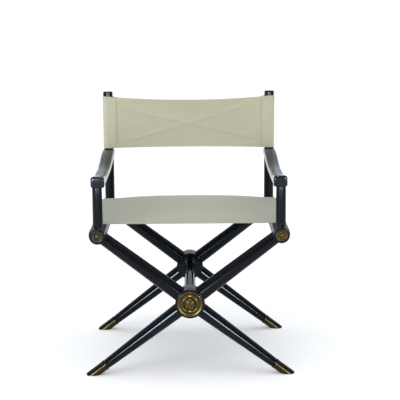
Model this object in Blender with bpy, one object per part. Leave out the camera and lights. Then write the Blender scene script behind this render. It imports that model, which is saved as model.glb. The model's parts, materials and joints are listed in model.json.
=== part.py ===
"""Folding campaign armchair: two scissor leg frames, round side rails, posts, arms and canvas slings.

Metres, +Z up. The chair faces -Y and stands on z = 0. The legs are named by where their feet stand.
"""

import math

import bmesh
import bpy
from mathutils import Matrix

# Overall stance
HALF_WIDTH = 0.267  # middle plane to a side rail's axis
RAIL_HEIGHT = 0.4284  # floor to the side rails' axis
PIVOT_HEIGHT = 0.2238  # floor to the axis on which the legs cross
LEG_PLANE = 0.2222  # middle plane to the axis of a leg frame

# Turned legs
LEG_R_HUB = 0.0225
LEG_R_TOP = 0.0185
LEG_R_FOOT = 0.0142
HUB_BORDER = 0.0053  # past the corner where the two crossing legs meet, out to the hub's rim
HUB_HALF = 0.030  # half of the hub's thickness, both legs together
EYE_THICK = 0.0175

# Brass ferrules
FERRULE_R = 0.0147
FERRULE_LENGTH = 0.0520  # from where the leg's axis meets the floor up to the collar
FERRULE_TIP = 0.0130  # past where the leg's axis meets the floor
FERRULE_EDGE = 0.0012
FERRULE_SOLE = 0.00313  # brass left under the leg's end, along the leg
COLLAR_R = 0.0157
FERRULE_WALL = 0.0013

# Side rails, posts and arms
RAIL_R = 0.025
POST_SEAT = 0.012  # rail's axis up to the flat on which a post stands
POST_CLEAR = 0.003  # a back post to the eye beside it
EYE_STEP = 0.001  # how much smaller than the rail the eye is, on the radius
FRONT_POST_R = 0.0150
FRONT_POST_R_TOP = 0.0142
BACK_POST_R = 0.0155
BACK_POST_IN = 0.005  # rail's axis in to a back post's axis
POST_TOP = 0.8040
RAIL_TENON_R = 0.008
RAIL_TENON = 0.005
ARM_TENON_R = 0.009
ARM_TENON = 0.014
ARM_IN = 0.004  # rail's axis in to the arm's middle line
ARM_CHEEK = 0.0032  # the least wood beside the back post
ARM_THICK = 0.0215
ARM_UNDER = 0.5706  # floor to the arm's underside at the front post
ARM_FRONT = 0.028  # leg plane out to the arm's front face
ARM_BACK = 0.0085  # wall behind the back post
ARM_CORNER = 0.0075
ARM_WAIST = 0.0012  # how much narrower the arm is on each side at its middle
WAIST_REACH = 0.13
BLOCK_RISE = 0.0105  # front block over the dip behind it
BLOCK_REACH = 0.055
TOP_RISE = 0.0245  # dip up to the arm's back end
TOP_RISE_FROM = -0.05
TOP_RISE_REACH = 0.25
UNDER_RISE_REACH = 0.21

# Stretcher, pivots and medallions
STRETCHER_R = 0.017
CENTRE_BOLT_R = 0.007
CENTRE_HEAD_R = 0.013
CENTRE_GRIP = 0.035  # bolt's length inside the stretcher
RAIL_BOLT_R = 0.004
RAIL_HEAD_R = 0.008
RAIL_GRIP = 0.035  # bolt's length inside the rail
RAIL_WASHER_R = 0.016
BOLT_HEAD = 0.004
WASHER = 0.0015
CENTRE_MEDALLION_R = 0.038
SMALL_MEDALLION_R = 0.017
MEDALLION_THICK = 0.0045

# Canvas
CANVAS = 0.0015
SEAT_CLEAR = 0.003  # post to the seat's edge
FLAP_CLEAR = 0.003  # seat's furthest edges to the ends of the rail
SEAT_WRAP = math.radians(70)  # how far the seat goes on round the rail below its outermost line
SLEEVE_LOW = 0.6206
SLEEVE_HIGH = 0.7893
NAILS = 5
NAIL_HEAD_R = 0.0045
NAIL_R = 0.0011
NAIL_LENGTH = 0.012
NAIL_MARGIN = 0.018
NAIL_UP = math.radians(12)  # along the wrap from its end to the nails

GAP = 0.0003  # between faces that touch
RUN = 0.0007  # round a hub that turns inside the other leg

TILT = math.atan2(HALF_WIDTH, RAIL_HEIGHT - PIVOT_HEIGHT)
LEG_UP = math.hypot(HALF_WIDTH, RAIL_HEIGHT - PIVOT_HEIGHT)
LEG_DOWN = PIVOT_HEIGHT / math.cos(TILT)
FERRULE_FLOOR = FERRULE_R * math.tan(TILT) + FERRULE_SOLE
HUB_R = LEG_R_HUB / math.cos(TILT) + HUB_BORDER
EYE_R = RAIL_R - EYE_STEP
EYE_IN = HUB_HALF - EYE_THICK  # leg plane out to the eye's inner face
RAIL_END = LEG_PLANE + EYE_IN - WASHER - 2 * GAP
POST_Y = LEG_PLANE + EYE_IN - BACK_POST_R - POST_CLEAR
BACK_POST_X = HALF_WIDTH - BACK_POST_IN
SEAT_EDGE = POST_Y - max(FRONT_POST_R, BACK_POST_R) - SEAT_CLEAR
ARM_WIDTH = 2 * (BACK_POST_R + GAP + BACK_POST_IN - ARM_IN + ARM_CHEEK)


def material(name, colour, roughness, metallic=0.0):
    made = bpy.data.materials.new(name)
    made.use_nodes = True
    shader = made.node_tree.nodes["Principled BSDF"]
    shader.inputs["Base Color"].default_value = (*colour, 1.0)
    shader.inputs["Roughness"].default_value = roughness
    shader.inputs["Metallic"].default_value = metallic
    return made


def new_object(name, bm, finish, parent=None):
    """Turns bm into an object whose faces point outwards, smooth where it is round."""
    bmesh.ops.remove_doubles(bm, verts=bm.verts, dist=0.000005)
    bmesh.ops.recalc_face_normals(bm, faces=bm.faces)
    mesh = bpy.data.meshes.new(name)
    bm.to_mesh(mesh)
    bm.free()
    mesh.shade_smooth()
    mesh.set_sharp_from_angle(angle=math.radians(35))
    if finish is not None:
        mesh.materials.append(finish)
    made = bpy.data.objects.new(name, mesh)
    bpy.context.scene.collection.objects.link(made)
    made.parent = parent
    return made


def turned(name, outline, finish, steps=24, parent=None, along="Z", start=0.0):
    """Spins an outline of (radius, height) once round the axis that it is measured from.

    An outline that starts and ends at radius 0 makes a plug; any other is closed into a ring.
    start turns the facets, in radians.
    """
    bm = bmesh.new()
    points = [bm.verts.new((r, 0.0, h)) for r, h in outline]
    edges = [bm.edges.new(pair) for pair in zip(points, points[1:])]
    if outline[0][0] > 0:
        edges.append(bm.edges.new((points[-1], points[0])))
    whole = points + edges
    about = {"cent": (0, 0, 0), "axis": (0, 0, 1), "angle": 2 * math.pi}
    bmesh.ops.spin(bm, geom=whole, steps=steps, use_merge=True, **about)
    bmesh.ops.rotate(bm, verts=bm.verts, matrix=Matrix.Rotation(start, 3, "Z"))
    if along == "Y":
        bmesh.ops.rotate(bm, verts=bm.verts, matrix=Matrix.Rotation(math.radians(-90), 3, "X"))
    return new_object(name, bm, finish, parent)


def prism(name, outline, low, high, finish=None, along="Y"):
    """Extrudes a flat outline: (x, z) points along Y, or (x, y) points along Z."""
    bm = bmesh.new()
    corners = [bm.verts.new((a, low, b) if along == "Y" else (a, b, low)) for a, b in outline]
    face = bm.faces.new(corners)
    way = (0, high - low, 0) if along == "Y" else (0, 0, high - low)
    grown = bmesh.ops.extrude_face_region(bm, geom=[face])["geom"]
    bmesh.ops.translate(bm, verts=[g for g in grown if isinstance(g, bmesh.types.BMVert)], vec=way)
    return new_object(name, bm, finish)


def rod(name, radius, low, high, at, along="Y", steps=32, parent=None):
    """A plain cylinder from low to high on its own axis, used to cut or to join."""
    made = turned(name, [(0, low), (radius, low), (radius, high), (0, high)], None, steps, parent, along)
    made.location = at
    return made


def combine(target, tool, operation):
    """Adds tool to target, or takes it away, and keeps the tool as a hidden guide.

    A leg's curved faces meet at low angles round its hub, which needs the manifold solver.
    """
    tool.hide_render = True
    tool.display_type = "WIRE"
    step = target.modifiers.new(tool.name, "BOOLEAN")
    step.operation = operation
    step.solver = "MANIFOLD" if target.name.startswith("leg_") else "EXACT"
    step.object = tool


def cut(target, tool):
    combine(target, tool, "DIFFERENCE")


def join(target, tool):
    combine(target, tool, "UNION")


def span(outer, inner, face):
    """Two Y values in rising order, measured outwards from the middle plane on one face of the chair."""
    return sorted((face * outer, face * inner))


def leg_radius(height):
    """The leg's radius at a height along it, from its crossing point: a straight taper each way."""
    if height > 0:
        return LEG_R_HUB + (LEG_R_TOP - LEG_R_HUB) * height / LEG_UP
    share = -height / (LEG_DOWN - FERRULE_LENGTH)
    return LEG_R_HUB + (LEG_R_FOOT - LEG_R_HUB) * share


def leg(name, face, lean, outer, finish, parent):
    """One turned leg with its half of the hub and its eye.

    face is -1 for the front frame and 1 for the back one, lean is 1 where the leg rises to +X.
    outer is true for the leg that holds the outer half of the hub.
    """
    shoulder = -(LEG_DOWN - FERRULE_LENGTH - 0.0015 - GAP)
    tenon_r = FERRULE_R - FERRULE_WALL - GAP
    outline = [
        (0, -(LEG_DOWN - FERRULE_FLOOR - GAP)),
        (tenon_r, -(LEG_DOWN - FERRULE_FLOOR - GAP)),
        (tenon_r, shoulder),
        (leg_radius(shoulder), shoulder),
        (leg_radius(shoulder / 2), shoulder / 2),
        (LEG_R_HUB, 0),
        (leg_radius(LEG_UP / 2), LEG_UP / 2),
        (LEG_R_TOP, LEG_UP),
        (LEG_R_TOP - 0.003, LEG_UP + 0.010),
        (0, LEG_UP + 0.010),
    ]
    made = turned(name, outline, finish, 20, parent)
    made.location = (0, face * LEG_PLANE, 0)
    made.rotation_euler = (0, lean * TILT, 0)
    middle = (0, 0, PIVOT_HEIGHT)
    top = (lean * HALF_WIDTH, 0, RAIL_HEIGHT)
    inside, outside = LEG_PLANE - HUB_HALF, LEG_PLANE + HUB_HALF
    lap = LEG_PLANE + (GAP / 2 if outer else -GAP / 2)
    kept = outside if outer else inside
    other = inside - RUN if outer else outside + RUN
    spare = lap + (other - lap) / 3
    rail_face = LEG_PLANE + EYE_IN
    join(made, rod(name + "_hub", HUB_R, *span(spare, kept, face), middle, steps=36))
    cut(made, rod(name + "_lap_cut", HUB_R + RUN, *span(lap, other, face), middle, steps=36))
    join(made, rod(name + "_eye", EYE_R, *span(rail_face - EYE_IN / 2, outside, face), top, steps=24))
    cut(made, rod(name + "_rail_cut", RAIL_R + RUN, *span(rail_face, inside, face), top, steps=24))
    bores = (
        ("centre", middle, CENTRE_BOLT_R, CENTRE_HEAD_R if outer else 0, inside - RUN, 16),
        ("rail", top, RAIL_BOLT_R, RAIL_HEAD_R, inside, 12),
    )
    for which, at, shank_r, head_r, far, steps in bores:
        radii = (shank_r + GAP, head_r + GAP if head_r else 0)
        cut(made, bore_cutter(f"{name}_{which}_bore", face, radii, far, at, steps))
    return made


def bore_cutter(name, face, radii, far, at, steps):
    """A stepped cylinder along Y that cuts a bolt's hole and, where it has a radius, the counterbore."""
    shank_r, head_r = radii
    outside = LEG_PLANE + HUB_HALF + RUN
    floor = LEG_PLANE + HUB_HALF - BOLT_HEAD - 2 * GAP
    outline = [(0, far), (shank_r, far)]
    if head_r:
        outline += [(shank_r, floor), (head_r, floor), (head_r, outside)]
    else:
        outline += [(shank_r, outside)]
    outline.append((0, outside))
    made = turned(name, [(r, face * y) for r, y in outline], None, steps, None, "Y")
    made.location = at
    return made


def ferrule(name, face, lean, finish, parent):
    """A brass cup on the leg's foot with a collar at its top, cut flat where it meets the floor."""
    top = -(LEG_DOWN - FERRULE_LENGTH)
    tip = -(LEG_DOWN + FERRULE_TIP)
    bore = FERRULE_R - FERRULE_WALL
    outline = [
        (0, tip),
        (FERRULE_R - FERRULE_EDGE, tip),
        (FERRULE_R, tip + FERRULE_EDGE),
        (FERRULE_R, top - 0.006),
        (COLLAR_R, top - 0.0045),
        (COLLAR_R, top - 0.0012),
        (FERRULE_R, top + 0.0005),
        (bore, top + 0.0005),
        (bore, -(LEG_DOWN - FERRULE_FLOOR)),
        (0, -(LEG_DOWN - FERRULE_FLOOR)),
    ]
    made = turned(name, outline, finish, 20, parent)
    made.location = (0, face * LEG_PLANE, 0)
    made.rotation_euler = (0, lean * TILT, 0)
    reach = LEG_DOWN * math.sin(TILT) + FERRULE_LENGTH
    below = prism(
        name + "_floor_cut",
        [(-reach, -0.1), (reach, -0.1), (reach, 0), (-reach, 0)],
        *span(LEG_PLANE - 0.05, LEG_PLANE + 0.05, face),
    )
    cut(made, below)
    return made


def bolt(name, face, shank_r, head_r, end, finish, parent, at_x=0.0):
    """A pivot bolt along Y whose head lies in the leg's counterbore; end is how far in it reaches."""
    head = LEG_PLANE + HUB_HALF - GAP
    shoulder = head - BOLT_HEAD
    shank = [(0, end), (shank_r, end), (shank_r, shoulder)]
    outline = shank + [(head_r, shoulder), (head_r, head), (0, head)]
    outline = [(r, face * y) for r, y in outline]
    made = turned(name, outline, finish, 12, parent, "Y")
    made.location = (at_x, 0, 0)
    return made


def medallion(name, face, radius, finish, parent, at_x=0.0):
    """A turned brass disc with a raised ring and a boss, over a pivot bolt's head."""
    seat = LEG_PLANE + HUB_HALF + GAP
    front = seat + MEDALLION_THICK - GAP
    outline = [
        (0, seat),
        (radius, seat),
        (radius, seat + 0.0018),
        (radius * 0.78, seat + 0.0018),
        (radius * 0.72, front),
        (radius * 0.60, front),
        (radius * 0.54, seat + 0.0018),
        (radius * 0.30, seat + 0.0018),
        (radius * 0.26, front),
        (0, front),
    ]
    outline = [(r, face * y) for r, y in outline]
    made = turned(name, outline, finish, 28 if radius > EYE_R else 16, parent, "Y")
    made.location = (at_x, 0, 0)
    return made


def washer(name, face, low, high, radius, hole, finish, parent, at_x=0.0):
    """A flat ring along Y between two Y values."""
    near, far = span(low, high, face)
    outline = [(hole, near), (radius, near), (radius, far), (hole, far)]
    made = turned(name, outline, finish, 16, parent, "Y")
    made.location = (at_x, 0, 0)
    return made


def side_rail(name, side, finish, parent):
    """A round rail along Y with a flat-bottomed seat for each post and a bore in each end."""
    ease = 0.0015
    outline = [
        (0, -RAIL_END),
        (RAIL_R - ease, -RAIL_END),
        (RAIL_R, -RAIL_END + ease),
        (RAIL_R, RAIL_END - ease),
        (RAIL_R - ease, RAIL_END),
        (0, RAIL_END),
    ]
    made = turned(name, outline, finish, 24, parent, "Y")
    for face, x, radius in ((-1, HALF_WIDTH, FRONT_POST_R), (1, BACK_POST_X, BACK_POST_R)):
        end = "front" if face < 0 else "back"
        at = (side * x, face * POST_Y, RAIL_HEIGHT)
        bore = RAIL_TENON_R + GAP
        floor = POST_SEAT - RAIL_TENON - GAP
        cut(made, rod(f"{name}_{end}_seat", radius + GAP, POST_SEAT, 2 * RAIL_R, at, "Z", 20))
        cut(made, rod(f"{name}_{end}_socket", bore, floor, 2 * RAIL_R, at, "Z", 12))
        reach = span(RAIL_END - RAIL_GRIP - 3 * GAP - WASHER, RAIL_END + RUN, face)
        axis = (side * HALF_WIDTH, 0, RAIL_HEIGHT)
        cut(made, rod(f"{name}_{end}_bore", RAIL_BOLT_R + GAP, *reach, axis, steps=12))
    return made


def post(name, side, face, x, radii, top, tenon, finish, parent):
    """A round post on the rail's seat, with a short tenon below and another, or a rounded end, above."""
    low = RAIL_HEIGHT + POST_SEAT + GAP
    bottom_r, top_r = radii
    outline = [
        (0, low - RAIL_TENON),
        (RAIL_TENON_R, low - RAIL_TENON),
        (RAIL_TENON_R, low),
        (bottom_r, low),
    ]
    if tenon:
        outline += [
            (top_r, top - GAP),
            (ARM_TENON_R, top - GAP),
            (ARM_TENON_R, top + tenon - 2 * GAP),
            (0, top + tenon - 2 * GAP),
        ]
    else:
        outline += [(top_r, top - 0.003), (top_r - 0.0008, top - 0.001), (top_r - 0.003, top), (0, top)]
    made = turned(name, outline, finish, 20, parent)
    made.location = (side * x, face * POST_Y, 0)
    return made


def arm_top(y):
    """Height of the arm's top: a raised front block, a shallow dip, then a rise to the back post."""
    front = -(LEG_PLANE + ARM_FRONT)
    block = math.exp(-(((y - front) / BLOCK_REACH) ** 2))
    share = min(max((y - TOP_RISE_FROM) / TOP_RISE_REACH, 0), 1)
    rise = (1 - math.cos(math.pi * share)) / 2
    return ARM_UNDER + ARM_THICK + BLOCK_RISE * block + TOP_RISE * rise


def arm_under(y):
    """Height of the arm's underside: straight to the middle, then rising with the top."""
    share = min(max(y / UNDER_RISE_REACH, 0), 1)
    return ARM_UNDER + ARM_THICK * (1 - math.cos(math.pi * share)) / 2


def arm_half_width(y):
    """Half of the arm's width: full at the front block and the back post, a little less between."""
    middle = math.exp(-((y / WAIST_REACH) ** 2))
    return ARM_WIDTH / 2 - ARM_WAIST * middle


def rounded_section(half, low, high, corner, y, middle):
    """Points of an upright rounded rectangle across the arm, in order."""
    points = []
    for right, up, start in ((1, 1, 0), (-1, 1, 90), (-1, -1, 180), (1, -1, 270)):
        for step in range(3):
            turn = math.radians(start + 45 * step)
            edge = high - corner if up > 0 else low + corner
            x = middle + right * (half - corner) + corner * math.cos(turn)
            points.append((x, y, edge + corner * math.sin(turn)))
    return points


def arm(name, side, finish, parent):
    """A shaped arm, lofted from front to back, with a blind socket in front and a bore behind."""
    front = -(LEG_PLANE + ARM_FRONT)
    back = POST_Y + BACK_POST_R + ARM_BACK
    middle = side * (HALF_WIDTH - ARM_IN)
    corner = ARM_CORNER
    stations = [front + 0.002, front + 0.006, front + 0.014]
    stations += [front + 0.030 + (back - 0.030 - front - 0.030) * n / 8 for n in range(9)]
    bm = bmesh.new()
    rings = []

    def add_ring(y, half, shrink):
        section = rounded_section(half, arm_under(y) + shrink, arm_top(y) - shrink, corner, y, middle)
        rings.append([bm.verts.new(p) for p in section])

    add_ring(front, ARM_WIDTH / 2 - 0.005, 0.005)
    add_ring(front + 0.0015, ARM_WIDTH / 2 - 0.0022, 0.0022)
    for y in stations[1:]:
        add_ring(y, arm_half_width(y), 0)
    round_r = ARM_WIDTH / 2
    for turn in (math.radians(25), math.radians(48), math.radians(68)):
        half = (round_r - corner) * math.cos(turn) + corner
        add_ring(back - round_r + round_r * math.sin(turn), half, 0)
    for first, second in zip(rings, rings[1:]):
        for n in range(len(first)):
            following = (n + 1) % len(first)
            bm.faces.new((first[n], first[following], second[following], second[n]))
    bm.faces.new(rings[0])
    bm.faces.new(rings[-1])
    made = new_object(name, bm, finish, parent)
    front_at = (side * HALF_WIDTH, -POST_Y, 0)
    back_at = (side * BACK_POST_X, POST_Y, 0)
    reach = (ARM_UNDER - 0.02, ARM_UNDER + ARM_TENON)
    cut(made, rod(name + "_socket", ARM_TENON_R + GAP, *reach, front_at, "Z", 20))
    cut(made, rod(name + "_bore", BACK_POST_R + GAP, ARM_UNDER - 0.02, POST_TOP, back_at, "Z", 24))
    return made


def seat_sling(finish, parent):
    """Canvas from under one rail, round its outer side and over its crown, across to the other rail.

    It runs to the rails' ends on their outer sides, and between the back posts. Notches clear the
    four posts, and the front edge is straight between the front ones.
    """
    inner = RAIL_R + GAP
    outer = inner + CANVAS
    arc_steps = 12
    crown = math.radians(90)
    turns = [crown - (crown + SEAT_WRAP) * n / arc_steps for n in range(arc_steps + 1)]

    def arc(radius, side):
        points = [(HALF_WIDTH + radius * math.cos(t), RAIL_HEIGHT + radius * math.sin(t)) for t in turns]
        return [(side * x, z) for x, z in points]

    outline = arc(outer, 1) + arc(inner, 1)[::-1] + arc(inner, -1) + arc(outer, -1)[::-1]
    end = RAIL_END - FLAP_CLEAR
    made = prism("seat_sling", outline, -end, end, finish)
    low, high = RAIL_HEIGHT, RAIL_HEIGHT + 2 * RAIL_R
    past = end + SEAT_CLEAR
    front = HALF_WIDTH + FRONT_POST_R + SEAT_CLEAR
    corners = [(-front, low), (front, low), (front, high), (-front, high)]
    cut(made, prism("seat_front_notch", corners, -past, -SEAT_EDGE))
    near = BACK_POST_X - BACK_POST_R - SEAT_CLEAR
    far = BACK_POST_X + BACK_POST_R + SEAT_CLEAR
    for side, word in ((-1, "left"), (1, "right")):
        corners = [(side * near, low), (side * far, low), (side * far, high), (side * near, high)]
        cut(made, prism(f"seat_{word}_notch", corners, SEAT_EDGE, past))
    made.parent = parent
    return made


def back_sling(finish, parent):
    """Canvas back: a sleeve round each back post and a panel on the posts' front side."""
    inner = BACK_POST_R + GAP
    outer = inner + CANVAS
    steps = 24
    first = math.radians(-90)
    last = math.radians(180) + math.asin(inner / outer)
    turns = [first + (last - first) * n / steps for n in range(steps + 1)]
    right = [(BACK_POST_X + outer * math.cos(t), POST_Y + outer * math.sin(t)) for t in turns]
    left = [(-x, y) for x, y in right[::-1]]
    made = prism("back_sling", right + left, SLEEVE_LOW, SLEEVE_HIGH, finish, "Z")
    for side, word in ((-1, "left"), (1, "right")):
        at = (side * BACK_POST_X, POST_Y, 0)
        bore = (SLEEVE_LOW - 0.01, SLEEVE_HIGH + 0.01)
        cut(made, rod(f"back_sling_{word}_bore", inner, *bore, at, "Z", 24))
    made.parent = parent
    return made


def nail_position(side, index):
    """Where a nail enters the rail's underside through the seat's end, and the way it points."""
    turn = NAIL_UP - SEAT_WRAP
    reach = SEAT_EDGE - NAIL_MARGIN
    y = -reach + 2 * reach * index / (NAILS - 1)
    return (side * HALF_WIDTH, y, RAIL_HEIGHT), (side * (math.pi / 2 - turn))


def nail(name, side, index, finish, parent):
    """A domed upholstery nail, pointing at the rail's axis."""
    at, turn = nail_position(side, index)
    seat = RAIL_R + CANVAS + 2 * GAP
    outline = [
        (0, seat - NAIL_LENGTH),
        (NAIL_R, seat - NAIL_LENGTH + 0.001),
        (NAIL_R, seat),
        (NAIL_HEAD_R, seat),
        (NAIL_HEAD_R * 0.8, seat + 0.0012),
        (NAIL_HEAD_R * 0.4, seat + 0.0019),
        (0, seat + 0.0020),
    ]
    made = turned(name, outline, finish, 8, parent)
    made.location = at
    made.rotation_euler = (0, turn, 0)
    return made


def empty(name, at):
    made = bpy.data.objects.new(name, None)
    made.location = at
    bpy.context.scene.collection.objects.link(made)
    return made


def place_under(child, joint):
    """Parents child to a joint's empty and leaves it where it stands."""
    child.parent = joint
    child.matrix_parent_inverse = Matrix.Translation(joint.location).inverted()


def build():
    for old in list(bpy.data.objects):
        bpy.data.objects.remove(old)
    lacquer = material("black_lacquer", (0.012, 0.012, 0.014), 0.18)
    brass = material("antique_brass", (0.38, 0.29, 0.13), 0.34, 1.0)
    steel = material("bright_steel", (0.45, 0.45, 0.46), 0.35, 1.0)
    canvas = material("natural_canvas", (0.55, 0.53, 0.42), 0.92)

    centre = empty("centre_pivot", (0, 0, PIVOT_HEIGHT))
    left = empty("left_rail_pivot", (-HALF_WIDTH, 0, RAIL_HEIGHT))
    right = empty("right_rail_pivot", (HALF_WIDTH, 0, RAIL_HEIGHT))
    hub_inside = LEG_PLANE - HUB_HALF
    stretcher_end = hub_inside - WASHER - 2 * GAP

    low, high = -stretcher_end, stretcher_end
    outline = [(0, low), (STRETCHER_R, low), (STRETCHER_R, high), (0, high)]
    stretcher = turned("stretcher", outline, lacquer, 20, centre, "Y")
    for face, place in ((-1, "front"), (1, "back")):
        reach = span(stretcher_end - CENTRE_GRIP - GAP, stretcher_end + RUN, face)
        at = (0, 0, PIVOT_HEIGHT)
        cut(stretcher, rod(f"stretcher_{place}_bore", CENTRE_BOLT_R + GAP, *reach, at, steps=16))
        end = stretcher_end - CENTRE_GRIP
        bolt(f"centre_bolt_{place}", face, CENTRE_BOLT_R, CENTRE_HEAD_R, end, steel, centre)
        washer(
            f"centre_washer_{place}", face, stretcher_end + GAP, hub_inside - GAP,
            STRETCHER_R - 0.0005, CENTRE_BOLT_R + GAP, brass, centre,
        )
        medallion(f"centre_medallion_{place}", face, CENTRE_MEDALLION_R, brass, centre)
        for lean, foot in ((1, "left"), (-1, "right")):
            outer = lean > 0
            leg(f"leg_{place}_{foot}", face, lean, outer, lacquer, centre)
            ferrule(f"ferrule_{place}_{foot}", face, lean, brass, centre)

    for side, word, joint in ((-1, "left", left), (1, "right", right)):
        side_rail(f"side_rail_{word}", side, lacquer, joint)
        front_radii = (FRONT_POST_R, FRONT_POST_R_TOP)
        back_radii = (BACK_POST_R, BACK_POST_R)
        front_top = (ARM_UNDER, ARM_TENON)
        back_top = (POST_TOP, 0)
        pieces = [
            post(f"front_post_{word}", side, -1, HALF_WIDTH, front_radii, *front_top, lacquer, None),
            post(f"back_post_{word}", side, 1, BACK_POST_X, back_radii, *back_top, lacquer, None),
            arm(f"arm_{word}", side, lacquer, None),
        ]
        pieces += [nail(f"seat_nail_{word}_{n + 1}", side, n, brass, None) for n in range(NAILS)]
        for piece in pieces:
            place_under(piece, joint)
        for face, place in ((-1, "front"), (1, "back")):
            end = LEG_PLANE + EYE_IN - RAIL_GRIP
            bolt(f"rail_bolt_{word}_{place}", face, RAIL_BOLT_R, RAIL_HEAD_R, end, steel, joint)
            medallion(f"rail_medallion_{word}_{place}", face, SMALL_MEDALLION_R, brass, joint)
            washer(
                f"rail_washer_{word}_{place}", face, RAIL_END + GAP, LEG_PLANE + EYE_IN - GAP,
                RAIL_WASHER_R, RAIL_BOLT_R + GAP, brass, joint,
            )

    seat = seat_sling(canvas, None)
    back = back_sling(canvas, None)
    place_under(seat, left)
    place_under(back, left)
    hole_end = RAIL_R + CANVAS - NAIL_LENGTH - 2 * NAIL_R
    for side, word in ((-1, "left"), (1, "right")):
        for index in range(NAILS):
            at, turn = nail_position(side, index)
            reach = (hole_end, RAIL_R + 3 * CANVAS)
            hole = rod(f"nail_hole_{word}_{index + 1}", NAIL_R + GAP, *reach, at, "Z", 8)
            hole.rotation_euler = (0, turn, 0)
            cut(seat, hole)
            cut(bpy.data.objects[f"side_rail_{word}"], hole)


build()
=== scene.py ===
import json
import math
import random

import bpy
import numpy as np
from mathutils import Matrix, Vector


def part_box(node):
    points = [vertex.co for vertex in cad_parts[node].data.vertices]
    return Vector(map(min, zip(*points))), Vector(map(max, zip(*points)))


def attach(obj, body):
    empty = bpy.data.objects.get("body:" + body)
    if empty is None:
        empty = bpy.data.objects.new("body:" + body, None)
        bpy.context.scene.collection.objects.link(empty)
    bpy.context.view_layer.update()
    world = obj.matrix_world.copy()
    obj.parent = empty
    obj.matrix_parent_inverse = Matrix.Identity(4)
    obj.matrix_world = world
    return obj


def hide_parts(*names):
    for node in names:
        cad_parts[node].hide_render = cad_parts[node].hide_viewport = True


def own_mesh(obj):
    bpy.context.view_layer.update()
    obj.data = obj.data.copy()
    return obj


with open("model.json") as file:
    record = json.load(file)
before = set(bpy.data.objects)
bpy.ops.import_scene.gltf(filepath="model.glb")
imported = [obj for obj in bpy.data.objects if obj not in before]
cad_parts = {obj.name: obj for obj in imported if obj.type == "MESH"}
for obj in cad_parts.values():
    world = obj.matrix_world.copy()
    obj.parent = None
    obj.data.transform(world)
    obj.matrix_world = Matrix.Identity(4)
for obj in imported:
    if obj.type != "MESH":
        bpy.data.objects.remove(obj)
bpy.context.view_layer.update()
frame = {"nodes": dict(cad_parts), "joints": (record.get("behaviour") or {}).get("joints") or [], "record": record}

# Places that come from the frame
joints = {joint["name"]: joint for joint in frame["joints"]}
PIVOT = Vector(joints["fold"]["pos_m"])
RAIL = Vector(joints["right_rail_pivot"]["pos_m"])
LEG_PLANE = next(m["pos_m"][1] for m in frame["record"]["mounts"] if m["name"] == "foot_back_left")
SIDES = ((-1, "left"), (1, "right"))
FACES = ((-1, "front"), (1, "back"))

# The turned sizes. They are the CAD's, except that the hub's radius is 1.2 mm more than in the CAD, and the
# ferrule's inner floor, which is hidden, lies 1 mm further up the leg.
LEG_R_HUB, LEG_R_TOP, LEG_R_FOOT = 0.0225, 0.0185, 0.0142
HUB_R, HUB_HALF = 0.0435, 0.030
EYE_R, EYE_THICK = 0.024, 0.0175
FERRULE_R, COLLAR_R, FERRULE_WALL = 0.0147, 0.0157, 0.0013
FERRULE_LENGTH, FERRULE_TIP, FERRULE_FLOOR = 0.052, 0.013, 0.0233
RAIL_R, STRETCHER_R = 0.025, 0.017
CANVAS = 0.0013  # the CAD's cloth is 0.2 mm thicker
GAP = 0.0003
RUN = 0.0007  # clearance where one piece turns on another
BIG_MEDALLION_R, SMALL_MEDALLION_R = 0.038, 0.017
SHOULDER_EASE = 0.0018  # the leg's eased edge above its ferrule
LEG_SHARP = math.radians(28)  # edges sharper than this are shaded hard on the legs and ferrules
TILT = math.atan2(RAIL.x, RAIL.z - PIVOT.z)
LEG_UP = math.hypot(RAIL.x, RAIL.z - PIVOT.z)
LEG_DOWN = PIVOT.z / math.cos(TILT)


# ---------------------------------------------------------------- materials


def node_tree(name):
    """A new material with its node tree and its Principled shader."""
    made = bpy.data.materials.new(name)
    made.use_nodes = True
    return made, made.node_tree, made.node_tree.nodes["Principled BSDF"]


def add(tree, kind, settings=None, **inputs):
    """A node of a kind, with settings on the node and values or links on its sockets."""
    made = tree.nodes.new(kind)
    for key, value in (settings or {}).items():
        setattr(made, key, value)
    for key, value in inputs.items():
        put(tree, made, key, value)
    return made


def put(tree, target, key, value):
    """Links an output to a socket, or sets the socket; the key is a name with _ for a space, or s1, s2..."""
    if key[0] == "s" and key[1:].isdigit():
        socket = target.inputs[int(key[1:])]
    else:
        socket = target.inputs[key.replace("_", " ")]
    if isinstance(value, bpy.types.NodeSocket):
        tree.links.new(value, socket)
    else:
        socket.default_value = value


def maths(tree, operation, *values):
    made = tree.nodes.new("ShaderNodeMath")
    made.operation = operation
    for number, value in enumerate(values):
        put(tree, made, f"s{number}", value)
    return made.outputs[0]


def ramp(tree, factor, *stops):
    """A colour ramp of (position, (r, g, b)) or (position, grey) stops."""
    made = tree.nodes.new("ShaderNodeValToRGB")
    tree.links.new(factor, made.inputs[0])
    elements = made.color_ramp.elements
    while len(elements) < len(stops):
        elements.new(0.5)
    for element, (position, colour) in zip(elements, stops):
        element.position = position
        element.color = (*colour, 1) if hasattr(colour, "__len__") else (colour, colour, colour, 1)
    return made.outputs[0]


def mix(tree, factor, first, second, blend="MIX"):
    made = tree.nodes.new("ShaderNodeMix")
    made.data_type = "RGBA"
    made.blend_type = blend
    for number, value in ((0, factor), (6, first), (7, second)):
        if isinstance(value, tuple):
            value = (*value, 1)
        put(tree, made, f"s{number}", value)
    return made.outputs[2]


def noise(tree, place, scale, detail=3.0, roughness=0.5):
    made = add(tree, "ShaderNodeTexNoise", Vector=place, Scale=scale, Detail=detail, Roughness=roughness)
    return made.outputs["Fac"]


def stretched(tree, place, scale):
    """Coordinates scaled by a different number along each axis."""
    return add(tree, "ShaderNodeMapping", Vector=place, Scale=scale).outputs[0]


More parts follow.
